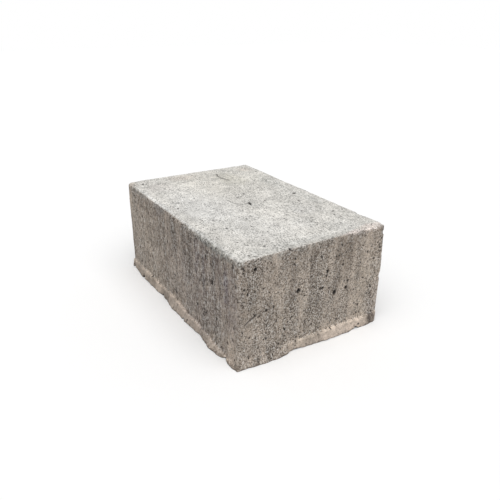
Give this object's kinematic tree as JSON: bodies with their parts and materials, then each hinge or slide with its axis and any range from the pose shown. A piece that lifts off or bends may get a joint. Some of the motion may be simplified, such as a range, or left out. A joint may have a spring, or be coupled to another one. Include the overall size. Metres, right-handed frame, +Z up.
{
  "type": "concrete padstone",
  "caption": "Precast concrete padstone: a solid rectangular block with a ragged casting lip round its foot, set under a beam's end to spread its load into masonry.",
  "frame": {"origin": "middle of the underside, on the surface the block stands on", "axes": "+X along the length, +Y across the width, +Z up; the casting lip's longest run is on the -Y face and the broken top arris is on the +X face"},
  "size_m": [0.342, 0.233, 0.14],
  "materials": {
    "concrete": "bare cast concrete, matt, pitted with blow holes and streaked with damp stains"
  },
  "bodies": {
    "root": {"padstone": "concrete"}
  },
  "joints": []
}
